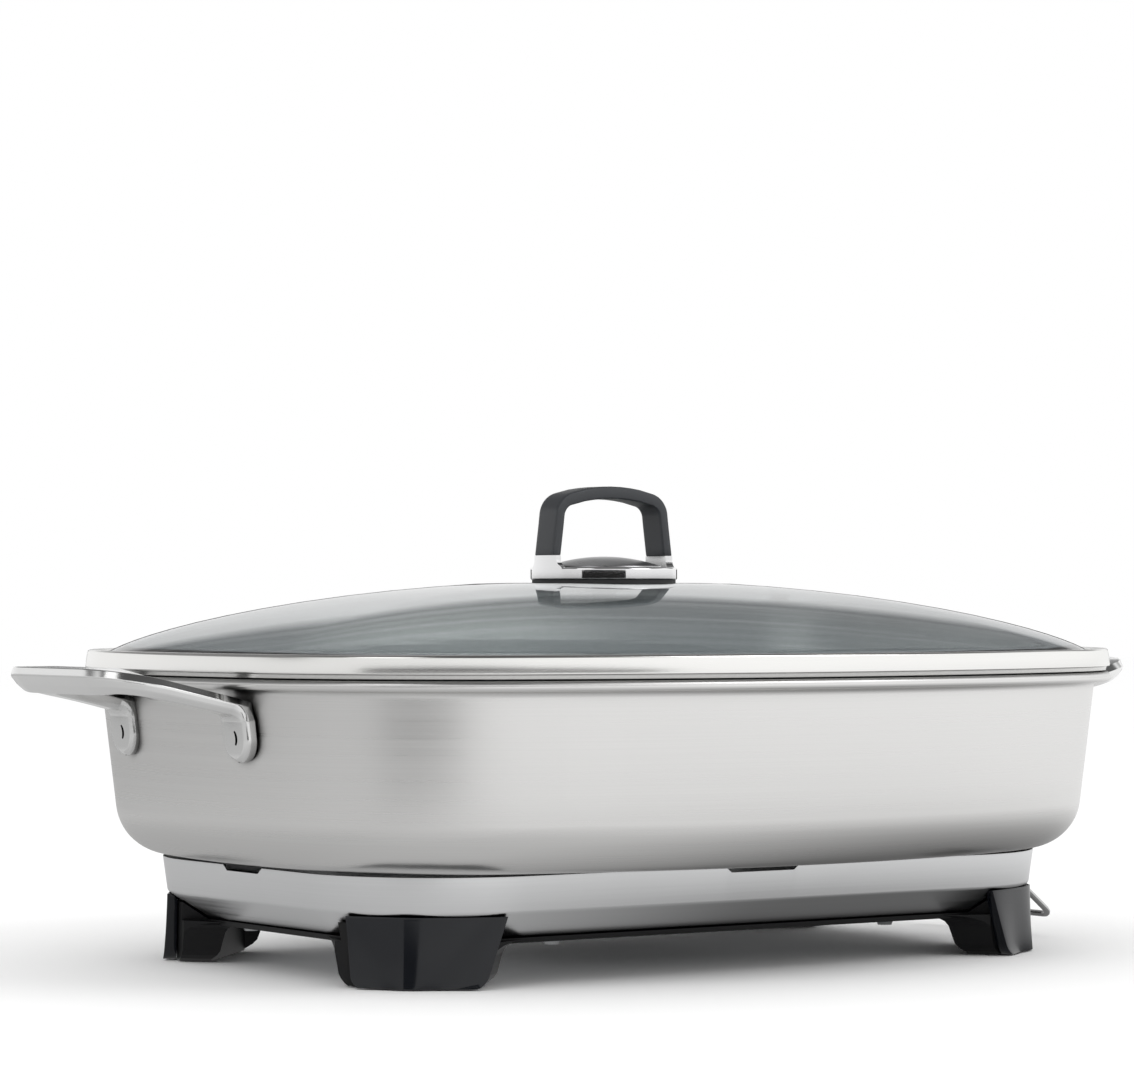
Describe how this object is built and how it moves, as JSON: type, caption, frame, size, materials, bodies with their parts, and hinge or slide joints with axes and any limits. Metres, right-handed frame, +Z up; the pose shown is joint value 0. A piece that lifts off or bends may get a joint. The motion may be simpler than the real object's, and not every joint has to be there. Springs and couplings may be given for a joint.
{
  "type": "electric skillet",
  "caption": "Countertop electric skillet: deep steel pan with loop handles and a lift-off domed glass lid, on a heated base with corner feet.",
  "frame": {"origin": "under the middle of the pan, on the surface that the feet stand on", "axes": "+X along the pan towards the end with the inlet, +Z up, +Y across the pan"},
  "size_m": [0.5256, 0.342, 0.1972],
  "materials": {
    "pan_steel": "horizontally brushed stainless steel, satin",
    "skirt_steel": "satin stainless sheet",
    "rim_steel": "finely polished stainless band",
    "cast_steel": "polished cast stainless steel",
    "chrome_ring": "bright chrome",
    "cap_steel": "brushed stainless disc",
    "plate_aluminium": "cast aluminium",
    "plated_steel": "zinc plated steel sheet and hardware",
    "element_sheath": "dark oxidised metal sheath",
    "contact_metal": "nickel plated contacts",
    "guard_wire": "plated steel wire",
    "ceramic": "glazed ceramic",
    "grip_plastic": "matte heat resistant plastic, dark grey",
    "frame_plastic": "matte heat resistant plastic, black",
    "foot_plastic": "glossy heat resistant plastic, black",
    "rubber": "soft black silicone",
    "lid_glass": "clear tempered glass with a faint blue green tint"
  },
  "bodies": {
    "root": {"pan_shell": "pan_steel", "pan_floor": "pan_steel", "heat_plate": "plate_aluminium", "handle_left": "cast_steel", "handle_right": "cast_steel", "rivets_left": "cast_steel", "rivets_right": "cast_steel", "heating_element": "element_sheath", "element_clamps": "plated_steel", "terminal_insulators": "ceramic", "terminal_pins": "contact_metal", "sensor_well": "plated_steel", "socket_plate": "plated_steel", "socket_shroud": "frame_plastic", "probe_guard": "guard_wire", "heat_shield": "plated_steel", "base_skirt": "skirt_steel", "base_frame": "frame_plastic", "bottom_cover": "plated_steel", "base_studs": "plated_steel", "base_spacers": "plated_steel", "base_nuts": "plated_steel", "cover_screws": "plated_steel", "foot_front_left": "foot_plastic", "foot_front_right": "foot_plastic", "foot_rear_left": "foot_plastic", "foot_rear_right": "foot_plastic", "foot_pads": "rubber"},
    "lid": {"lid_glass": "lid_glass", "lid_rim": "rim_steel", "vent_eyelet": "rim_steel", "lid_gasket": "rubber", "lid_handle_base": "chrome_ring", "lid_handle_cap": "cap_steel", "lid_handle_grip": "grip_plastic", "lid_handle_washer": "rubber", "lid_handle_screw": "plated_steel"}
  },
  "joints": [
    {"name": "lid_lift", "type": "slide", "parent": "root", "child": "lid", "axis": [0, 0, 1], "range_m": [0, 0.15]}
  ]
}
